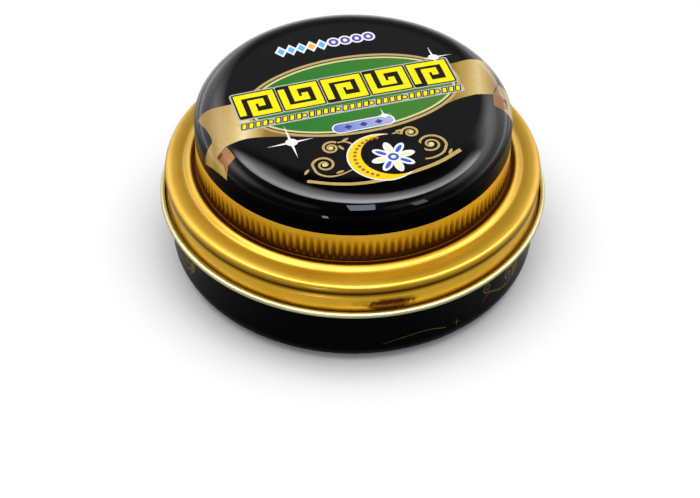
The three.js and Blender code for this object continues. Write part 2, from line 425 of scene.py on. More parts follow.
# Gold scrollwork: each curl's middle, outer and inner radius, turns, start and way round
CURLS = [(-6.0, -23.1, 2.7, 0.35, 1.9, 60, 1), (-7.6, -30.1, 3.4, 0.45, 1.7, 180, -1),
         (15.8, -16.0, 2.7, 0.35, 1.8, 200, -1), (21.3, -20.8, 4.3, 0.45, 2.1, 0, 1)]
STEMS = [([(-4.4, -20.9), (-2.2, -20.4), (-0.2, -21.6), (0.6, -24.2)], 5),
         ([(0.4, -31.6), (-3.2, -34.0), (-6.4, -34.7), (-9.4, -33.5), (-11.0, -30.2)], 6),
         ([(13.2, -16.8), (11.6, -16.4), (10.4, -17.6), (9.4, -19.8)], 5),
         ([(14.6, -26.0), (17.6, -27.0), (21.4, -26.6), (24.6, -24.2), (25.6, -20.8)], 6)]
LEAVES = [(-3.2, -22.9, -50), (-2.2, -19.6, 40), (12.2, -18.8, -60), (12.6, -15.4, 20),
          (-3.4, -32.9, 30), (17.2, -25.8, -20), (-12.4, -33.0, 60), (26.6, -23.6, 70)]
EYES = [(-6.0, -23.1, 0.62), (-7.6, -30.1, 0.72), (15.8, -16.0, 0.62), (21.4, -20.8, 0.8)]


def scrolls():
    """Gold scrollwork on both sides of the medallion."""
    gold = [stroke(spiral(*curl), 0.75, 1.0, 0.7) for curl in CURLS]
    gold += [stroke(flowing(*stem), 0.8, 0.5, 0.95) for stem in STEMS]
    gold += [oval(x, y, 1.15, 0.42, 16, lean) for x, y, lean in LEAVES]
    shapes = [("gold", outline) for outline in gold]
    return shapes + [("pale_gold", oval(x, y, size, size, 16)) for x, y, size in EYES]


ROSETTE_MIDDLE = (11.0, -26.4)
PETALS = 8


def medallion():
    """A yellow crescent round a plain eight-petal rosette."""
    shapes = [("white", oval(8.2, -26.4, 9.95, 9.55, 64)), ("crescent", oval(8.2, -26.4, 9.6, 9.2, 64)),
              ("enamel", oval(11.0, -25.2, 8.9, 8.3, 60))]
    for i in range(15):
        bead_place = turned([(7.9, 0)], 104 + 11 * i, (8.4, -26.3))[0]
        shapes.append(("ribbon_fold", oval(*bead_place, 0.55, 0.55, 12)))
    for slots, petal in ((("white", "white"), oval(3.7, 0, 2.6, 1.25, 20)),
                         (("cream", "royal_blue"), oval(3.6, 0, 1.8, 0.62, 16))):
        for i in range(PETALS):
            shapes.append((slots[i % 2], turned(petal, 360 / PETALS * (i + 0.5), ROSETTE_MIDDLE)))
    for slot, size, steps in (("white", 2.1, 28), ("royal_blue", 1.55, 24), ("cream", 0.7, 16)):
        shapes.append((slot, oval(*ROSETTE_MIDDLE, size, size, steps)))
    return shapes


def lower_line():
    """The gold line that follows the dome's front edge."""
    path = flowing([(-12.2, -36.2), (-6, -37.2), (0, -37.3), (6, -36.3), (12, -34.2), (18, -31.4),
                    (24, -27.6), (29.4, -22.6)], 6)
    return [("gold", stroke(path, 1.15, 0.8, 1.0))]


def stars():
    """White highlights printed on the banner and the title."""
    outlines = [oval(-16.8, -20.8, 1.7, 1.5, 20),
                sparkle(-16.9, -20.9, (6.4, 7.6, 7.0, 6.6), 0.62, 18),
                oval(22.9, 18.2, 1.6, 1.3, 20),
                sparkle(22.8, 18.2, (5.6, 5.2, 3.2, 2.6), 0.5, 18),
                oval(8.6, -8.9, 1.0, 0.8, 16),
                sparkle(8.5, -8.8, (2.0, 3.2, 2.0, 1.6), 0.35, 18)]
    return [("white", outline) for outline in outlines]


def lid_picture():
    level = oval_field() + title() + bead_row() + top_ornament() + pill()
    tilted = [(slot, turned(points, PRINT_TILT)) for slot, points in level]
    return ribbon() + tilted + lower_line() + scrolls() + medallion() + stars()


# ---------------- materials

def plug(tree, value, socket):
    """Links a socket to another, or sets its value. A colour of three numbers becomes opaque."""
    if isinstance(value, bpy.types.NodeSocket):
        tree.links.new(value, socket)
    elif isinstance(value, tuple) and len(socket.default_value) == 4:
        socket.default_value = (*value, 1)
    else:
        socket.default_value = value


def dress(tree, shader, inputs):
    for key, value in inputs.items():
        plug(tree, value, shader.inputs[key])


def add(tree, kind, inputs, output=0, **settings):
    """Adds a shader node with its settings and inputs, and gives back one of its outputs."""
    node = tree.nodes.new("ShaderNode" + kind)
    for key, value in settings.items():
        setattr(node, key, value)
    dress(tree, node, inputs)
    return node.outputs[output]


def node_tree(name):
    material = bpy.data.materials.new(name)
    material.use_nodes = True
    tree = material.node_tree
    return material, tree, tree.nodes["Principled BSDF"]


def coordinates(tree, scale=(1, 1, 1), degrees=0, place=(0, 0, 0)):
    """Object coordinates in metres, turned about Z and scaled."""
    return add(tree, "Mapping", {"Vector": add(tree, "TexCoord", {}, "Object"), "Location": place,
                                 "Rotation": (0, 0, math.radians(degrees)), "Scale": scale})


def axis_value(tree, vector, axis):
    return add(tree, "SeparateXYZ", {0: vector}, axis)


def noise_value(tree, vector, scale, detail=3.0, roughness=0.5):
    return add(tree, "TexNoise", {"Vector": vector, "Scale": scale, "Detail": detail,
                                  "Roughness": roughness}, "Fac")


def ramp(tree, value, stops):
    """Colour stops: (position, colour), or (position, brightness)."""
    node = tree.nodes.new("ShaderNodeValToRGB")
    elements = node.color_ramp.elements
    while len(elements) < len(stops):
        elements.new(0.5)
    for element, (position, colour) in zip(elements, stops):
        element.position = position
        element.color = (*(colour if isinstance(colour, tuple) else (colour,) * 3), 1)
    tree.links.new(value, node.inputs["Fac"])
    return node.outputs["Color"]


def map_range(tree, value, low, high, to_low=0.0, to_high=1.0):
    return add(tree, "MapRange", {"Value": value, "From Min": low, "From Max": high,
                                  "To Min": to_low, "To Max": to_high})


def mixed(tree, share, first, second):
    """A colour mix; first and second are sockets or colours."""
    return add(tree, "Mix", {0: share, 6: first, 7: second}, 2, data_type="RGBA")


def maths(tree, operation, *values):
    """A Math node; the values are sockets or numbers."""
    return add(tree, "Math", dict(enumerate(values)), operation=operation)


def times(tree, first, *others):
    for other in others:
        first = maths(tree, "MULTIPLY", first, other)
    return first


def bump(tree, shader, height, strength, distance):
    normal = add(tree, "Bump", {"Height": height, "Strength": strength, "Distance": distance})
    tree.links.new(normal, shader.inputs["Normal"])


DISPLAY_GAMMA = 2.2
STUDIO_GAIN = 1.22  # how much brighter than its albedo a level surface looks in this studio


def ink(red, green, blue):
    """A print colour, given as it looks under the studio light (0 to 255), as an albedo."""
    return tuple((value / 255) ** DISPLAY_GAMMA / STUDIO_GAIN for value in (red, green, blue))


# The varnish's weight on the dome, by height in millimetres: thin on the upright side, full from
# the shoulder up
VARNISH_BY_HEIGHT = ((45.0, 0.13), (48.8, 1.0))
VARNISH_IOR = 1.36


def enamel(name, colour, stops=None, degrees=0.0, span=(), coat=None):
    """Stoved print under clear varnish. With stops, the colour runs across the print.

    The varnish carries a faint ripple, and the ink's tone and gloss vary a little. Its weight
    follows the dome's height unless one is given.
    """
    material, tree, shader = node_tree(name)
    vector = coordinates(tree)
    if stops:
        across = axis_value(tree, coordinates(tree, degrees=degrees), 0)
        colour = ramp(tree, map_range(tree, across, *span), stops)
    if coat is None:
        (low, thin), (high, full) = VARNISH_BY_HEIGHT
        coat = map_range(tree, axis_value(tree, vector, 2), low * MM, high * MM, thin, full)
    grain = map_range(tree, noise_value(tree, vector, 900.0, 4.0), 0.3, 0.7, 0.0, 0.1)
    gloss = map_range(tree, noise_value(tree, vector, 120.0, 2.0), 0.3, 0.7, 0.3, 0.4)
    dress(tree, shader, {"Base Color": mixed(tree, grain, colour, (0.0, 0.0, 0.0)), "Roughness": gloss,
                         "Specular IOR Level": 0.03, "Coat Weight": coat, "Coat IOR": VARNISH_IOR,
                         "Coat Roughness": 0.035})
    bump(tree, shader, noise_value(tree, vector, 260.0, 2.0), 0.05, 0.0004)
    return material


def stamped_metal(name, light, dark, rough):
    """Lacquered tinplate: faint cloudiness in the lacquer and fine drawing marks in the sheet."""
    material, tree, shader = node_tree(name)
    cloud = map_range(tree, noise_value(tree, coordinates(tree), 70.0), 0.35, 0.65)
    marks = noise_value(tree, coordinates(tree, (1.0, 1.0, 0.25)), 1500.0, 3.0, 0.6)
    base = mixed(tree, cloud, dark, light)
    dress(tree, shader, {"Base Color": base, "Metallic": 1.0, "Coat Weight": 0.15, "Coat Roughness": 0.12,
                         "Roughness": map_range(tree, marks, 0.3, 0.7, rough * 0.93, rough * 1.07)})
    bump(tree, shader, marks, 0.008, 0.0001)
    return material, tree, base


# How bright the gold stays at each height, from 0 to 1: painted shade darkens it in the crease over the
# curl, in the groove, on the rim and dish, and in the corner at the neck's foot.
SHADE_BY_HEIGHT = [(20.7, 0.02), (21.0, 0.1), (21.5, 0.8), (23.0, 1.0), (25.8, 1.0), (26.4, 0.5),
                     (26.9, 0.08), (28.0, 0.04), (28.4, 0.3), (29.3, 0.55), (29.8, 0.7), (30.15, 0.7),
                     (30.4, 0.48), (31.0, 0.48), (31.25, 0.64), (31.6, 0.64), (31.68, 0.08),
                     (33.2, 0.08), (34.2, 0.4), (37.0, 0.9), (41.0, 1.0)]
# The dark brown that the gold turns to under painted shade
PAINTED_SHADE_COLOUR = (0.055, 0.024, 0.004)
# How strongly painted shade darkens the grooves between the knurls
SHADE_BETWEEN_KNURLS = 0.64
# Where the painted shade between the knurls starts and is full, from above and from below
SHADE_FROM_TOP, SHADE_FROM_FOOT = (39.5, 36.5), (31.8, 33.0)
CORNER_SHADE = 0.04  # how bright the gold stays under the painted shade in the corner at the neck's foot
CORNER_HEIGHTS, CORNER_RADII = (31.7, 32.0), (46.4, 47.0)  # where the corner's shade ends
GOLD_LIGHT, GOLD_DARK, GOLD_ROUGH = (0.8, 0.475, 0.06), (0.72, 0.41, 0.045), 0.34
PALE_LIGHT, PALE_DARK, PALE_ROUGH = (0.55, 0.52, 0.31), (0.47, 0.44, 0.24), 0.48
INK_BROWN = (0.1, 0.035, 0.008)


def gold_material():
    """The lid's gold lacquer, darkened by painted shade in its corners, its groove and between the knurls,
    with a smudge of stamping ink on the skirt.
    """
    material, tree, base = stamped_metal("gold_lacquer", GOLD_LIGHT, GOLD_DARK, GOLD_ROUGH)
    x, y, z = (axis_value(tree, coordinates(tree), i) for i in range(3))

    def between(value, span, start=0.0):
        return map_range(tree, value, span[0] * MM, span[1] * MM, start)

    # Painted shade by height: 1 where the gold is unshaded
    low, high = SHADE_BY_HEIGHT[0][0], SHADE_BY_HEIGHT[-1][0]
    stops = [((height - low) / (high - low), unshaded) for height, unshaded in SHADE_BY_HEIGHT]
    unshaded = ramp(tree, between(z, (low, high)), stops)
    # Painted shade in the grooves between the knurls, following their waves round the neck
    wave = maths(tree, "COSINE", times(tree, maths(tree, "ARCTAN2", y, x), float(KNURLS)))
    knurl_shade = times(tree, map_range(tree, wave, 1.0, -1.0), between(z, SHADE_FROM_TOP),
                    between(z, SHADE_FROM_FOOT))
    unshaded_by_knurls = maths(tree, "SUBTRACT", 1.0, times(tree, knurl_shade, SHADE_BETWEEN_KNURLS))
    radius = maths(tree, "SQRT", maths(tree, "ADD", times(tree, x, x), times(tree, y, y)))
    # Painted shade in the corner at the neck's foot, ending at a height and a radius
    corner_end = maths(tree, "MAXIMUM", between(z, CORNER_HEIGHTS, CORNER_SHADE),
                       between(radius, CORNER_RADII, CORNER_SHADE))
    # Painted shade: the gold is mixed towards a dark brown wherever it is shaded
    share = times(tree, unshaded, unshaded_by_knurls, corner_end)
    shaded = mixed(tree, share, PAINTED_SHADE_COLOUR, base)
    dress(tree, tree.nodes["Principled BSDF"],
          {"Base Color": mixed(tree, ink_smudge(tree), shaded, INK_BROWN), "Metallic": 0.72,
           "Specular IOR Level": 0.15, "Coat Weight": map_range(tree, share, 0.0, 0.4, 0.0, 0.15)})
    return material


# Middle, reach and strength of each part of the smudge, in millimetres
SMUDGES = [((10.6, -52.8, 22.9), (8.6, 9.0, 2.1), 0.85), ((11.2, -52.5, 24.2), (8.0, 9.0, 1.5), 0.6),
           ((3.2, -53.7, 23.9), (4.4, 8.0, 1.4), 0.2)]


def ink_smudge(tree):
    """Where rubbed stamping ink covers the skirt: a ragged bar with no shape of its own."""
    ragged = noise_value(tree, coordinates(tree, place=(0.31, 0.17, 0.05)), 620.0, 3.0, 0.55)
    edge = map_range(tree, ragged, 0.3, 0.7, -0.16, 0.16)
    total = 0.0
    for place, reach, strength in SMUDGES:
        size = tuple(1 / (r * MM) for r in reach)
        shift = tuple(-p * MM * s for p, s in zip(place, size))
        ball = add(tree, "TexGradient", {"Vector": coordinates(tree, size, 0, shift)}, "Fac",
                   gradient_type="SPHERICAL")
        body = maths(tree, "ADD", ball, times(tree, edge, map_range(tree, ball, 0.0, 0.1)))
        total = maths(tree, "ADD", total, map_range(tree, body, 0.12, 0.4, 0.0, strength))
    return total


def mottled(name, grain, colours, inputs, rough=None, relief=None, depth=(), stretch=(1, 1, 1),
            span=(0.3, 0.7)):
    """A material of two colours, mottled by a noise of a given scale, detail and roughness.

    The noise can also set how rough the surface is, between two values. The relief is a noise of its
    own, laid over a share of the first one; depth is its strength and height.
    """
    material, tree, shader = node_tree(name)
    mottle = noise_value(tree, coordinates(tree, stretch), *grain)
    dress(tree, shader, {"Base Color": mixed(tree, map_range(tree, mottle, *span), *colours), **inputs})
    if rough:
        plug(tree, map_range(tree, mottle, 0.3, 0.7, *rough), shader.inputs["Roughness"])
    if relief:
        share, *fine = relief
        own = noise_value(tree, coordinates(tree), *fine) if fine else mottle
        bump(tree, shader, mixed(tree, share, mottle, own), *depth)
    return material


def wax_material():
    """Poured pale wax: soft gloss, faint swirls, tiny pits."""
    return mottled("paste_wax", (45.0, 5.0, 0.6), ((0.8, 0.71, 0.44), (0.88, 0.82, 0.58)),
                   {"Subsurface Weight": 0.15, "Subsurface Scale": 0.003}, (0.36, 0.52),
                   (0.25, 1400.0, 2.0), (0.35, 0.0004), span=(0.35, 0.7))


def plastic_material():
    """Milky moulded plastic with faint flow lines and a fine matt grain."""
    return mottled("milky_plastic", (120.0,), ((0.74, 0.77, 0.76), (0.86, 0.87, 0.85)),
                   {"Subsurface Weight": 0.12, "Subsurface Scale": 0.002}, (0.34, 0.48),
                   (1.0, 2600.0, 2.0), (0.12, 0.0001), stretch=(1.0, 0.25, 1.0))


def compound_material():
    """Grey sealing compound, slightly uneven where it was flowed in."""
    return mottled("sealing_compound", (300.0, 4.0), ((0.2, 0.21, 0.21), (0.3, 0.31, 0.31)), {},
                   (0.5, 0.7), (0.0,), (0.3, 0.0003))


def foam_material():
    """Open-cell foam: small pores with painted shade inside them, and a cloudy tone."""
    material, tree, shader = node_tree("yellow_foam")
    vector = coordinates(tree)
    pores = add(tree, "TexVoronoi", {"Vector": vector, "Scale": 1500.0}, "Distance")
    depth = map_range(tree, pores, 0.1, 0.55)
    # Painted shade: the foam's colour is darker towards the middle of each pore
    tone = mixed(tree, depth, (0.6, 0.42, 0.12), (0.86, 0.66, 0.2))
    cloud = map_range(tree, noise_value(tree, vector, 80.0), 0.35, 0.65, 0.0, 0.35)
    dress(tree, shader, {"Base Color": mixed(tree, cloud, tone, (0.92, 0.75, 0.3)), "Roughness": 0.95,
                         "Sheen Weight": 0.2})
    bump(tree, shader, depth, 0.8, 0.0005)
    return material


# The banner's shading: where along the X axis (mm), and the tone there, from 0, in shadow, to 1
BANNER_TONES = ((96, 72, 30), (164, 130, 54), (240, 220, 172))
RIBBON_SHADES = [(-46, 0.05), (-42, 0.4), (-38, 0.5), (-33, 0.75), (-30, 0.95), (-27, 0.7), (-24, 0.3),
                 (-16, 0.26), (0, 0.45), (28, 0.34), (32, 0.6), (35.5, 0.8), (38, 0.58), (40, 0.32),
                 (43, 0.1)]
TAIL_SHADES = [(-46, 0.0), (-43, 0.1), (-39.5, 0.6), (-37.5, 0.5), (-35, 0.65), (41, 0.3), (45, 0.8),
               (47.5, 0.65)]
FOLD_TONES = ((100, 50, 14), (142, 86, 32), (176, 124, 60))
FOLD_SHADES = [(-40, 0.0), (-36, 0.5), (-33, 0.9), (39, 0.6), (42, 0.4), (45, 1.0)]


def tone(tones, share):
    """A colour between three tones, for a share from 0 to 1."""
    dark, middle, light = (np.array(colour) for colour in tones)
    if share < 0.5:
        return dark + (middle - dark) * share * 2
    return middle + (light - middle) * (share * 2 - 1)


def run_of(name, tones, table):
    """An ink whose colour runs along the X axis."""
    low, high = table[0][0], table[-1][0]
    stops = [((place - low) / (high - low), ink(*tone(tones, share))) for place, share in table]
    return enamel(name, None, stops, 0.0, (low * MM, high * MM))


BLACK = (0.0012, 0.001, 0.0014)
FLAT_INKS = {
    "gold": (186, 158, 98), "pale_gold": (216, 206, 150), "dark_green": (34, 62, 28),
    "ribbon_shade": (84, 42, 16), "yellow": (246, 228, 16), "crescent": (238, 205, 36),
    "silver": (176, 178, 172), "black_line": (28, 22, 8), "white": (240, 240, 246),
    "cream": (238, 230, 176), "sky_blue": (92, 180, 244), "royal_blue": (56, 92, 196),
    "navy": (58, 66, 130), "violet": (88, 76, 168), "amber": (238, 178, 62)}
# Inks that run across the print: three colours, the direction, and where they start and end
RUNNING_INKS = {
    "green": (((44, 112, 46), (54, 118, 46), (70, 118, 50)), 0.0, (-0.024, 0.026)),
    "pill": (((84, 106, 190), (140, 152, 198), (168, 174, 204)), -17.0, (-0.011, 0.008))}


def print_materials():
    """Every ink on the tin, by the name that the picture's layers use."""
    inks = {"enamel": enamel("black_enamel", BLACK)}
    inks.update((name, enamel(name + "_ink", ink(*colour))) for name, colour in FLAT_INKS.items())
    for name, (colours, degrees, span) in RUNNING_INKS.items():
        stops = [(i / 2, ink(*colour)) for i, colour in enumerate(colours)]
        inks[name] = enamel(name + "_ink", None, stops, degrees, span)
    inks["ribbon"] = run_of("ribbon_ink", BANNER_TONES, RIBBON_SHADES)
    inks["ribbon_tail"] = run_of("ribbon_tail_ink", BANNER_TONES, TAIL_SHADES)
    inks["ribbon_fold"] = run_of("ribbon_fold_ink", FOLD_TONES, FOLD_SHADES)
    return inks


# ---------------- laying a flat print on a surface

def lay_print(shell, slots, outline, loose, layers, lift):
    """Cuts a flat sheet along its printed outlines, lays it on a surface and adds it to a shell.

    lift(points) gives places and normals in space for flat points. The sheet's own outline comes
    first, every later shape paints over the ones before it, and the loose points let it bend.
    Gives back the outline's points, in order.
    """
    points = list(outline)
    faces = [list(range(len(points)))]
    for _, shape in layers:
        faces.append(list(range(len(points), len(points) + len(shape))))
        points += anticlockwise(shape)
    vectors = [Vector((float(x), float(y))) for x, y in points + loose]
    flat, _, triangles, sources, _, owners = delaunay_2d_cdt(vectors, [], faces, 1, 1e-5)
    names = ["enamel"] + [slot for slot, _ in layers]
    places, normals = lift(np.array([tuple(v) for v in flat]))
    ids = [shell.point(tuple(p), tuple(n)) for p, n in zip(places, normals)]
    for triangle, shapes in zip(triangles, owners):
        shell.faces.append([ids[i] for i in triangle])
        shell.slots.append(slots[names[max(shapes)] if shapes else "enamel"])
    edge = {old: ids[new] for new, olds in enumerate(sources) for old in olds if old < len(outline)}
    return [edge[k] for k in range(len(outline))]


def crown_z(radius):
    return LID_TOP - CROWN_RISE * (radius / CROWN_RADIUS) ** 2


def dome_profile():
    """The dome's outside from the middle of the crown to the edge of the black enamel."""
    crown = [(r, crown_z(r)) for r in np.linspace(0, CROWN_RADIUS, 60)]
    shoulder = arc(CROWN_RADIUS, SHOULDER_Z, DOME_CORNER_R, DOME_CORNER_Z, 90, 0, 120)
    side = [(DOME_RADIUS, z) for z in np.linspace(SHOULDER_Z, ENAMEL_EDGE, 12)]
    return np.array(crown + shoulder[1:] + side[1:])


def along(profile):
    """How far along the sheet each point of a profile is."""
    return np.concatenate([[0], np.cumsum(np.hypot(*np.diff(profile, axis=0).T))])


def dome_lift(flat):
    """Lays flat points on the dome: their distance from the middle is measured along the sheet."""
    profile = dome_profile()
    reach = along(profile)
    slope = np.gradient(profile, reach, axis=0)
    distance = np.hypot(flat[:, 0], flat[:, 1])
    angle = np.arctan2(flat[:, 1], flat[:, 0])
    radius, height = (np.interp(distance, reach, profile[:, i]) for i in range(2))
    up, out = (np.interp(distance, reach, slope[:, i]) for i in range(2))
    size = np.hypot(out, up)
    places = np.stack([radius * np.cos(angle), radius * np.sin(angle), height], axis=1)
    normals = np.stack([-out / size * np.cos(angle), -out / size * np.sin(angle), up / size], axis=1)
    return places, normals


def circle(radius, count):
    angles = 2 * math.pi * np.arange(count) / count
    return [(radius * math.cos(a), radius * math.sin(a)) for a in angles]


def dome_print(shell, slots):
    reach = float(along(dome_profile())[-1])
    loose = []
    for radius in np.arange(3.0, CROWN_RADIUS - 1, 3.0):
        loose += circle(radius, max(12, int(radius * 2)))
    for radius in np.arange(CROWN_RADIUS - 0.5, reach - 0.5, 0.75):
        loose += circle(radius, ROUND)
    return lay_print(shell, slots, circle(reach, ROUND), loose, lid_picture(), dome_lift)


# ---------------- the pieces

def step_profile(inset=0.0):
    """The lid's step, from the neck's foot to the rounded rim."""
    return [(r, z - inset) for r, z in STEP_FOOT + flowing(STEP_CURVE, 4)]


def smooth(share):
    """An even rise from 0 to 1; a share outside that is cut off."""
    share = min(1.0, max(0.0, share))
    return share * share * (3 - 2 * share)


def knurl_depth(height):
    """How deep the neck's grooves are at a height: none at the top, deepest near the foot."""
    rise = smooth((ENAMEL_EDGE - 1.2 - height) / KNURL_FADE_TOP)
    return KNURL_DEPTH * rise * smooth((height - NECK_BOTTOM - 0.2) / KNURL_FADE_FOOT)


def groove(depth):
    return lambda angle: depth * (0.5 - 0.5 * math.cos(KNURLS * angle))


def make_lid(inks, gold, pale):
    slots = {name: i for i, name in enumerate(inks)}
    gold_slot, pale_slot = len(inks), len(inks) + 1
    shell = Shell()
    ring = dome_print(shell, slots)
    for height in np.linspace(ENAMEL_EDGE - 0.35, NECK_BOTTOM, 20):
        following = shell.ring(DOME_RADIUS, height, FINE_ROUND, groove(knurl_depth(height)))
        shell.bridge(ring, following, gold_slot)
        ring = following
    rim_r, rim_z = STEP_RADIUS - STEP_CORNER, STEP_TOP - STEP_CORNER
    floor = SKIRT_RADIUS - GROOVE_DEPTH
    lower = step_profile() + arc(rim_r, rim_z, STEP_CORNER, STEP_CORNER, RIM_SLOPE, 0, 12)
    lower += [(STEP_RADIUS, GROOVE_TOP + 0.15), (STEP_RADIUS - 0.08, GROOVE_TOP)]
    lower += flowing([(floor + 0.2, GROOVE_TOP - 0.14), (floor, GROOVE_TOP - 0.4),
                      (floor, GROOVE_BOTTOM + 0.5), (floor + 0.06, GROOVE_BOTTOM),
                      (SKIRT_RADIUS - 0.04, GROOVE_BOTTOM - 0.8),
                      (SKIRT_RADIUS, GROOVE_BOTTOM - 1.4), (SKIRT_RADIUS, CURL_Z + 0.4)], 3)
    lower += [(SKIRT_RADIUS + 0.02, CURL_Z + 0.1), (CURL_R - CURL_RADIUS, CURL_Z - 0.1)]
    lower += arc(CURL_R, CURL_Z, CURL_RADIUS, CURL_RADIUS, CURL_START, CURL_SEAM, 5)
    ring = shell.turn(ring, lower, gold_slot)
    inner = SKIRT_RADIUS - SHEET
    inside = arc(CURL_R, CURL_Z, CURL_RADIUS, CURL_RADIUS, CURL_SEAM, -90, 20)[1:]
    inside += [(inner + 0.45, LID_EDGE_Z + 0.02), (inner + 0.12, LID_EDGE_Z + 0.14),
               (inner, LID_EDGE_Z + 0.45), (inner, rim_z - 0.4)]
    inside += arc(rim_r, rim_z, STEP_CORNER - SHEET, STEP_CORNER - SHEET, 0, RIM_SLOPE, 6)
    inside += step_profile(SHEET)[::-1][1:-3]
    inner = DOME_RADIUS - SHEET - 0.3
    inside += [(inner + 0.5, NECK_BOTTOM - 0.85), (inner + 0.1, NECK_BOTTOM - 0.3),
               (inner, NECK_BOTTOM + 0.4), (inner, ENAMEL_EDGE - 1), (DOME_RADIUS - SHEET, ENAMEL_EDGE)]
    inside += arc(CROWN_RADIUS, SHOULDER_Z, DOME_CORNER_R - SHEET, DOME_CORNER_Z - SHEET, 0, 90, 16)
    inside += [(r, crown_z(r) - SHEET) for r in (24, 16, 8, 2)]
    ring = shell.turn(ring, inside, pale_slot)
    shell.cap(ring, LID_TOP - SHEET, pale_slot)
    return shell.build("lid", [*inks.values(), gold, pale], "lid", ["stepped_lid"])


def wall_lift(flat):
    """Lays flat points on the base's wall: the first number is measured round it."""
    angle = flat[:, 0] / BASE_RADIUS
    out = np.stack([np.cos(angle), np.sin(angle), np.zeros(len(flat))], axis=1)
    return out * BASE_RADIUS + np.stack([0 * angle, 0 * angle, flat[:, 1]], axis=1), out


WALL_REPEATS = 3
WALL_START = 327.0  # degrees round the wall, where the first scroll is


def wall_ornament(x, y):
    """Sparse gold scrolls and a star, round one place on the unrolled wall."""
    tail, sweep, leaf = (
        flowing([(x + dx, y + dy) for dx, dy in path], steps) for path, steps in (
            (((-0.2, -3.4), (-4, -3.0), (-9, -0.8), (-12, -2.6)), 6),
            (((-25, -5.0), (-31, -3.4), (-38, -4.0), (-44, -5.4)), 6),
            (((2.6, -3.8), (5.2, -0.6), (5.0, 3.4), (3.0, 0.4)), 5)))
    return [stroke(spiral(x, y, 3.4, 0.5, 1.6, -90, 1), 0.7, 1.0, 0.7), stroke(tail, 0.7, 1.0, 0.4),
            stroke(sweep, 0.35, 1.0, 0.4), leaf,
            stroke(spiral(x - 10.2, y + 1.8, 2.0, 0.4, 1.3, -60, -1), 0.55, 1.0, 0.7),
            sparkle(x - 21.5, y - 4.6, (1.4, 1.8, 1.4, 1.8), 0.22, 0), oval(x, y, 0.6, 0.6, 14)]


def wall_print(shell, slots, low, high):
    """The base's wall, unrolled, with its ornament repeated round it."""
    around = 2 * math.pi * BASE_RADIUS
    lower = [(around * i / ROUND, low) for i in range(ROUND + 1)]
    upper = [(x, high) for x, _ in lower[::-1]]
    shapes = []
    for i in range(WALL_REPEATS):
        shapes += wall_ornament(around * ((i / WALL_REPEATS + WALL_START / 360) % 1),
                                (low + high) / 2 - 0.4)
    layers = [("gold", shape) for shape in shapes]
    return lay_print(shell, slots, lower + upper, [], layers, wall_lift)


def make_base(inks, pale):
    slots = {name: i for i, name in enumerate(inks)}
    black_slot, pale_slot = slots["enamel"], len(inks)
    shell = Shell()
    edge = wall_print(shell, slots, BASE_CORNER + 0.2, LID_EDGE_Z - 1.0)
    # The sheet's two short ends meet at one seam, so the last point of each row is the first again.
    low_ring, high_ring = edge[:ROUND], edge[ROUND + 1:][::-1][:ROUND]
    seam = {edge[ROUND]: edge[0], edge[ROUND + 1]: edge[-1]}
    shell.faces = [[seam.get(i, i) for i in face] for face in shell.faces]
    foot_inner = FOOT_R - FOOT_WIDTH
    down = arc(FOOT_R, BASE_CORNER, BASE_CORNER, BASE_CORNER, 0, -90, 18)
    down += [(foot_inner + 0.3, 0.0), (foot_inner, 0.06), (foot_inner - 0.5, PANEL_RISE * 0.5),
             (foot_inner - 1.0, PANEL_RISE - 0.05), (foot_inner - 1.4, PANEL_RISE)]
    down += flowing([(PANEL_BEAD + PANEL_BEAD_HALF, PANEL_RISE), (PANEL_BEAD, PANEL_RISE + PANEL_BEAD_RISE),
                     (PANEL_BEAD - PANEL_BEAD_HALF, PANEL_RISE)], 5)
    down += [(r, PANEL_RISE) for r in (20, 10, 2)]
    shell.cap(shell.turn(low_ring, down, black_slot), PANEL_RISE, black_slot)
    roll_r, roll_z = BASE_RADIUS - RIM_ROLL, BASE_TOP - RIM_ROLL
    inner = BASE_RADIUS - SHEET
    ring = shell.turn(high_ring, [(BASE_RADIUS, LID_EDGE_Z + 1.0)], black_slot)
    rim = [(BASE_RADIUS, roll_z)] + arc(roll_r, roll_z, RIM_ROLL, RIM_ROLL, 0, 190, 14)[1:]
    rim += [(inner - 0.25, roll_z - 0.75), (inner, roll_z - 1.2), (inner, BASE_CORNER + 4)]
    rim += arc(FOOT_R, BASE_CORNER, BASE_CORNER - SHEET, BASE_CORNER - SHEET, 0, -90, 14)
    floor = PANEL_RISE + SHEET
    rim += [(foot_inner + 0.2, SHEET), (foot_inner - 0.7, floor), (30, floor), (10, floor), (2, floor)]
    shell.cap(shell.turn(ring, rim, pale_slot), floor, pale_slot)
    return shell.build("base", [*inks.values(), pale], "base", ["tin_base"])


def turned_solid(radius, bottom, profile, top):
    """A solid turned from the axis at one height, along a profile, to the axis at another."""
    shell = Shell()
    first = shell.ring(radius, bottom)
    shell.cap(first, bottom, 0)
    shell.cap(shell.turn(first, profile, 0), top, 0)
    return shell


def make_wax():
    """The poured cake: a meniscus at the wall and a shallow pouring swirl in the middle."""
    reach = WAX_RADIUS - FOOT_R
    lowest = math.degrees(math.asin((WAX_BOTTOM - BASE_CORNER) / reach))
    face = WAX_TOP - MENISCUS
    profile = [(20, WAX_BOTTOM), (FOOT_R - 3, WAX_BOTTOM)]
    profile += arc(FOOT_R, BASE_CORNER, reach, reach, lowest, 0, 10)
    profile += [(WAX_RADIUS, WAX_TOP - 0.25)]
    profile += flowing([(WAX_RADIUS - 0.15, WAX_TOP), (WAX_RADIUS - 0.6, WAX_TOP - 0.25),
                        (WAX_RADIUS - 1.8, WAX_TOP - 0.58), (WAX_RADIUS - 4.5, WAX_TOP - 0.8),
                        (WAX_RADIUS - 9, face)], 5)
    profile += [(r, face - SWIRL_RISE * math.cos(r / SWIRL_PITCH) * (1 - r / 44)) for r in
                np.linspace(42, 1.5, 54)]
    shell = turned_solid(3, WAX_BOTTOM, profile, WAX_TOP - 1.0)
    return shell.build("wax", [wax_material()], "base", ["wax_cake"])


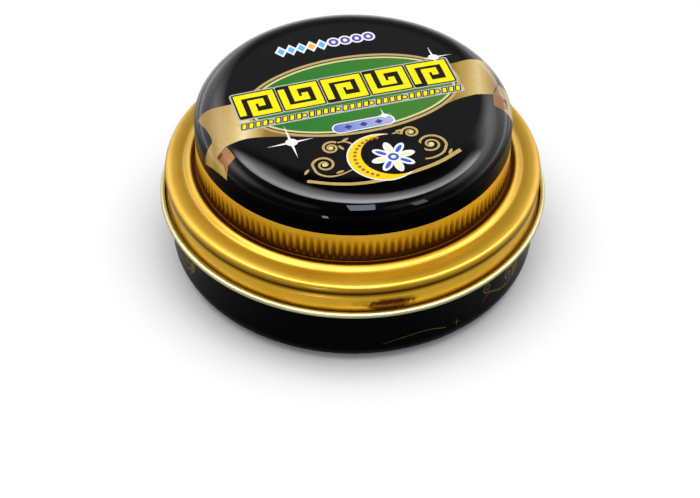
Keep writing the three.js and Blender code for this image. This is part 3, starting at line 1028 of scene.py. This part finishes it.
def bead(radius, centre):
    """A smooth raised ring, 2 mm wide: 1 on its crest and 0 outside it."""
    distance = abs(radius - centre)
    return math.cos(distance * math.pi / 2) ** 2 if distance < 1 else 0.0


def tray(height, start, stop):
    """The cover's tray from one radius to another, with its stiffening beads."""
    return [(r, height + COVER_BEAD_RISE * sum(bead(r, centre) for centre in COVER_BEADS))
            for r in np.linspace(start, stop, 90)]


def make_cover(plastic):
    """The thin disc over the wax: flange, shallow tray and two stiffening beads."""
    floor = COVER_BOTTOM + COVER_SHEET
    top = COVER_BOTTOM + COVER_DEPTH
    low = top - COVER_SHEET
    outer = tray(floor, 2, COVER_TRAY)
    outer += flowing([(49.5, floor + 0.05), (49.9, floor + 0.5), (50.2, top - 0.35), (50.7, top)], 5)
    outer += [(COVER_RADIUS - 0.15, top), (COVER_RADIUS, top - 0.15), (COVER_RADIUS, low + 0.12),
              (COVER_RADIUS - 0.12, low)]
    outer += flowing([(51.1, low), (50.8, low - 0.4), (50.5, COVER_BOTTOM + 0.3), (50.0, COVER_BOTTOM)], 5)
    outer += tray(COVER_BOTTOM, COVER_TRAY, 2)
    shell = turned_solid(1.2, floor, outer, COVER_BOTTOM)
    return shell.build("cover", [plastic], "cover", ["cover_disc"])


def make_tab(plastic):
    """The cover's finger tab: a small upright tongue with round corners and a swelling foot."""
    floor = COVER_BOTTOM + COVER_SHEET
    top, half = floor + TAB_HIGH, TAB_WIDE / 2
    outline = [(-half - 0.5, floor - 0.1), (half + 0.5, floor - 0.1)]
    outline += flowing([(half, floor + 0.5), (half, top - TAB_CORNER), (half - 0.5, top - 0.5),
                        (half - TAB_CORNER, top)], 5)
    outline += flowing([(-half + TAB_CORNER, top), (-half + 0.5, top - 0.5), (-half, top - TAB_CORNER),
                        (-half, floor + 0.5)], 5)
    shell = Shell()
    layers = []
    middle = np.mean(outline, axis=0)
    for offset, shrink in ((-0.5, TAB_EDGE), (-0.5 + TAB_EDGE, 0), (0.5 - TAB_EDGE, 0), (0.5, TAB_EDGE)):
        row = []
        for place in outline:
            away = np.array(place) - middle
            y, z = np.array(place) - away / np.hypot(*away) * shrink
            row.append(shell.point((-TAB_RADIUS + offset * TAB_THICK, y, max(z, floor - 0.1))))
        layers.append(row)
    for a, b in zip(layers, layers[1:]):
        shell.bridge(a, b, 0)
    shell.faces += [layers[0], layers[-1]]
    shell.slots += [0, 0]
    return shell.build("cover_tab", [plastic], "cover", [], sharp=60)


def make_sponge():
    """A round foam pad: crowned, softened edges, a gentle waist and a pitted skin."""
    middle = (SPONGE_LOW + SPONGE_HIGH) / 2
    half = (SPONGE_HIGH - SPONGE_LOW) / 2
    low, flat = SPONGE_LOW + 0.05, SPONGE_RADIUS - SPONGE_EDGE
    waist = half - SPONGE_EDGE - 0.8
    profile = [(r, low) for r in np.linspace(1.5, flat, 36)]
    profile += arc(flat, SPONGE_LOW + SPONGE_EDGE, SPONGE_EDGE, SPONGE_EDGE, -80, 0, 8)
    profile += [(SPONGE_RADIUS - SPONGE_WAIST * math.cos(z / half * math.pi / 2), middle + z)
                for z in np.linspace(-waist, waist, 12)]
    profile += arc(flat, SPONGE_HIGH - SPONGE_EDGE - SPONGE_CROWN, SPONGE_EDGE, SPONGE_EDGE, 0, 80, 8)
    profile += [(r, SPONGE_HIGH - SPONGE_CROWN * (r / SPONGE_RADIUS) ** 2)
                for r in np.linspace(flat - 0.6, 1.5, 36)]
    shell = turned_solid(0.7, low, profile, SPONGE_HIGH)
    centre = Vector((0, 0, middle))
    for i, place in enumerate(shell.points):
        point = Vector(place)
        dent = sum(depth * abs(noise.noise(point * waves)) for depth, waves in SPONGE_PITS)
        shell.points[i] = tuple(point + (centre - point).normalized() * dent)
    sponge = shell.build("sponge", [foam_material()], "applicator", ["applicator_sponge"], sharp=180)
    return sponge


def make_seal():
    """The flowed-in ring: rounded, with a slightly wandering inner edge."""
    shell = Shell()
    low, high, inner, outer = SEAL_LOW, SEAL_HIGH, SEAL_INNER, SEAL_OUTER
    section = flowing([(inner + 0.4, low), (outer - 0.3, low), (outer, low + 0.35),
                       (outer - 0.35, high - 0.32), (51.0, high - 0.12), (inner + 0.5, high),
                       (inner, high - 0.4), (inner + 0.02, low + 0.3)], 3, closed=True)

    def wander(inside):
        return lambda a: -SEAL_WANDER * inside * math.sin(7 * a + math.sin(3 * a))

    rings = [shell.ring(radius, height, ROUND, wander((outer - radius) / (outer - inner)))
             for radius, height in section]
    for a, b in zip(rings, rings[1:] + rings[:1]):
        shell.bridge(a, b, 0)
    return shell.build("seal", [compound_material()], "seal", ["sealing_ring"])


# ---------------- camera, floor and light

CAMERA_PLACE = (0.0, -448.6, 407.4)
CAMERA_PITCH, CAMERA_YAW, CAMERA_ROLL = 42.62, -0.08, -0.46
LENS_MM, SENSOR_MM = 104.37, 36.0


def make_camera():
    data = bpy.data.cameras.new("camera")
    data.lens = LENS_MM
    data.sensor_width = SENSOR_MM
    data.clip_start = 0.01
    data.clip_end = 20
    pitch, yaw, roll = (math.radians(a) for a in (CAMERA_PITCH, CAMERA_YAW, CAMERA_ROLL))
    ahead = Vector((math.sin(yaw) * math.cos(pitch), math.cos(yaw) * math.cos(pitch), -math.sin(pitch)))
    right = Vector((math.cos(yaw), -math.sin(yaw), 0))
    down = ahead.cross(right)
    tilt_right = right * math.cos(roll) + down * math.sin(roll)
    tilt_down = down * math.cos(roll) - right * math.sin(roll)
    turn = Matrix((tilt_right, -tilt_down, -ahead)).transposed()
    camera = bpy.data.objects.new("camera", data)
    camera.matrix_world = Matrix.Translation(Vector(CAMERA_PLACE) * MM) @ turn.to_4x4()
    bpy.context.scene.collection.objects.link(camera)
    bpy.context.scene.camera = camera


SQUARE = ((-1, -1), (1, -1), (1, 1), (-1, 1))


def stage_panel(name, corners_m, material, seen=False):
    """A flat panel of the studio, in metres. Unless seen, only mirror-like surfaces show it."""
    mesh = bpy.data.meshes.new(name)
    mesh.from_pydata(corners_m, [], [list(range(len(corners_m)))])
    mesh.materials.append(material)
    panel = bpy.data.objects.new(name, mesh)
    bpy.context.scene.collection.objects.link(panel)
    panel.visible_camera = panel.visible_diffuse = panel.visible_shadow = seen


def glow_tree(name):
    """A material with nothing in it but the socket for its surface."""
    material, tree, shader = node_tree(name)
    tree.nodes.remove(shader)
    return material, tree, tree.nodes["Material Output"].inputs["Surface"]


FLOOR_HALF = 3.0  # metres

# A dark card that lies before the tin and is seen only in its mirror-like surfaces, in metres
CARD_MIDDLE, CARD_HALF, CARD_HEIGHT = (0.0, -0.2), 0.3, 0.0003


def make_floor():
    material = mottled("pale_floor", (3.0, 2.0), ((0.72, 0.72, 0.73), (0.76, 0.76, 0.76)),
                       {"Roughness": 0.6, "Specular IOR Level": 0.0}, span=(0.0, 1.0))
    stage_panel("floor", [(a * FLOOR_HALF, b * FLOOR_HALF, 0) for a, b in SQUARE], material, True)


def make_card():
    """Darkens what the tin's front mirrors of the floor."""
    x, y = CARD_MIDDLE
    material = mottled("card", (40.0,), ((0.27, 0.27, 0.28), (0.31, 0.31, 0.32)), {"Roughness": 0.9},
                       span=(0.0, 1.0))
    stage_panel("card", [(x + a * CARD_HALF, y + b * CARD_HALF, CARD_HEIGHT) for a, b in SQUARE], material)


# The lamp over the tin, in metres, and its radiance. Mirror-like surfaces do not see it.
OVERHEAD_PLACE, OVERHEAD_SIZE, OVERHEAD_RADIANCE = (0, -0.07, 0.86), (1.1, 0.66), 2.8


def make_overhead():
    data = bpy.data.lights.new("overhead", "AREA")
    data.shape = "RECTANGLE"
    data.size, data.size_y = OVERHEAD_SIZE
    data.energy = OVERHEAD_RADIANCE * math.pi * data.size * data.size_y
    lamp = bpy.data.objects.new("overhead", data)
    lamp.location = OVERHEAD_PLACE
    lamp.visible_glossy = False
    bpy.context.scene.collection.objects.link(lamp)


# The studio wall behind the tin, as gloss mirrors it: its brightness at each height, as the sine of
# the elevation. Everything else is lit by an even studio. The wall is brighter to both sides, from one
# sideways direction to another, up to a height, and the room before the tin is darker.
WALL_BY_HEIGHT = [(0.0, 0.5), (0.2, 0.24), (0.4, 0.28), (0.56, 0.62), (0.72, 0.7), (0.82, 0.3),
                  (0.94, 0.2), (1.0, 0.2)]
SIDE_GAIN, SIDE_SPAN, SIDE_TOP = 4.2, (0.22, 0.42), (0.6, 0.72)
ROOM_SHARE, ROOM_SPAN = 0.3, (-0.35, 0.1)
STUDIO_LIGHT = 0.84


def make_world():
    world = bpy.data.worlds.new("studio")
    world.use_nodes = True
    tree = world.node_tree
    direction = add(tree, "TexCoord", {}, "Generated")
    sideways, backward, upward = (axis_value(tree, direction, i) for i in range(3))
    aside = map_range(tree, maths(tree, "ABSOLUTE", sideways), *SIDE_SPAN)
    under = map_range(tree, upward, *SIDE_TOP, SIDE_GAIN, 0.0)
    sides = maths(tree, "ADD", 1.0, times(tree, aside, under))
    room = map_range(tree, backward, *ROOM_SPAN, ROOM_SHARE, 1.0)
    gloss = add(tree, "LightPath", {}, "Is Glossy Ray")
    strength = maths(tree, "ADD", times(tree, sides, room, gloss), maths(tree, "SUBTRACT", 1.0, gloss))
    colour = mixed(tree, gloss, (STUDIO_LIGHT,) * 3, ramp(tree, upward, WALL_BY_HEIGHT))
    dress(tree, tree.nodes["Background"], {"Color": colour, "Strength": strength})
    bpy.context.scene.world = world


# The reflector that makes the crescent on the dome: a disc over the tin, in metres, and its
# brightness from its middle to its rim. It fades from half a metre before the tin to half a metre
# behind it.
REFLECTOR_MIDDLE, REFLECTOR_RADII, REFLECTOR_HEIGHT = (0.15, 0.34), (0.8, 0.81), 0.84
REFLECTOR_GLOW = [(0.0, 0.0), (0.46, 0.0), (0.54, 4.6), (0.68, 9.4), (0.82, 17.6), (0.9, 19.0), (1.0, 6.0)]
BRIGHTEST = 19.0
REFLECTOR_FADE = [(0.0, 1.0), (0.3, 0.62), (0.8, 0.5), (1.0, 0.0)]


def make_reflector():
    rim = [(*place, REFLECTOR_HEIGHT) for place in oval(*REFLECTOR_MIDDLE, *REFLECTOR_RADII, 96)]
    material, tree, surface = glow_tree("reflector_glow")
    scale = (*(1 / radius for radius in REFLECTOR_RADII), 0.0)
    shift = (*(-place / radius for place, radius in zip(REFLECTOR_MIDDLE, REFLECTOR_RADII)), 0.0)
    outwards = add(tree, "VectorMath", {0: coordinates(tree, scale, 0, shift)}, "Value", operation="LENGTH")
    glow = ramp(tree, outwards, [(share, light / BRIGHTEST) for share, light in REFLECTOR_GLOW])
    behind = map_range(tree, axis_value(tree, coordinates(tree), 1), -0.5, 0.5)
    strength = times(tree, ramp(tree, behind, REFLECTOR_FADE), BRIGHTEST)
    emission = add(tree, "Emission", {"Color": glow, "Strength": strength})
    clear = add(tree, "BsdfTransparent", {})
    plug(tree, add(tree, "AddShader", {0: emission, 1: clear}), surface)
    stage_panel("reflector", rim[::-1], material)


# Small windows and lamps of the room before the tin, as seen in the dome's shoulder: direction
# (elevation and azimuth from the back, in degrees), half sizes in degrees, distance and radiance
ROOM_LIGHTS = [(45, 172.7, 11, 7.5, 1.2, (5.6, 6.6, 8.0)), (26, 133, 8, 4.5, 1.2, (3.8, 3.8, 4.2)),
               (-14, -160, 7, 2.2, 0.12, (14.0, 14.0, 14.0))]
ROOM_CENTRE = (0, -0.04, 0.05)


def make_room_lights():
    """Glowing panels round the dome that only mirror-like surfaces see."""
    for i, (elevation, azimuth, half_high, half_wide, distance, glow) in enumerate(ROOM_LIGHTS):
        rise, turn = math.radians(elevation), math.radians(azimuth)
        out = Vector((math.cos(rise) * math.sin(turn), math.cos(rise) * math.cos(turn), math.sin(rise)))
        side = Vector((math.cos(turn), -math.sin(turn), 0))
        wide = side * distance * math.tan(math.radians(half_wide))
        high = side.cross(out) * distance * math.tan(math.radians(half_high))
        place = Vector(ROOM_CENTRE) + out * distance
        material, tree, surface = glow_tree(f"room_glow_{i}")
        plug(tree, add(tree, "Emission", {"Color": glow}), surface)
        stage_panel(f"room_light_{i}", [place + a * wide + b * high for a, b in SQUARE], material)


# The darkest tones are pressed down a little, as a studio picture's are: brightness in, out
TONE_CURVE = [(0.012, 0.002), (0.03, 0.013), (0.07, 0.055), (0.12, 0.115)]


def set_tone():
    view = bpy.context.scene.view_settings
    view.view_transform = "Standard"
    view.use_curve_mapping = True
    curve = view.curve_mapping.curves[3]
    for place in TONE_CURVE:
        curve.points.new(*place)
    for point in curve.points:
        point.handle_type = "VECTOR"
    view.curve_mapping.update()


def make_light():
    set_tone()
    make_card()
    make_world()
    make_reflector()
    make_room_lights()
    make_overhead()


def main():
    make_camera()
    make_floor()
    make_light()
    inks = print_materials()
    gold = gold_material()
    pale = stamped_metal("pale_lacquer", PALE_LIGHT, PALE_DARK, PALE_ROUGH)[0]
    make_lid(inks, gold, pale)
    make_base({"gold": enamel("base_gold_ink", ink(100, 84, 46), coat=0.3),
               "enamel": enamel("base_enamel", BLACK, coat=0.6)}, pale)
    make_wax()
    plastic = plastic_material()
    make_cover(plastic)
    make_tab(plastic)
    make_sponge()
    make_seal()


main()
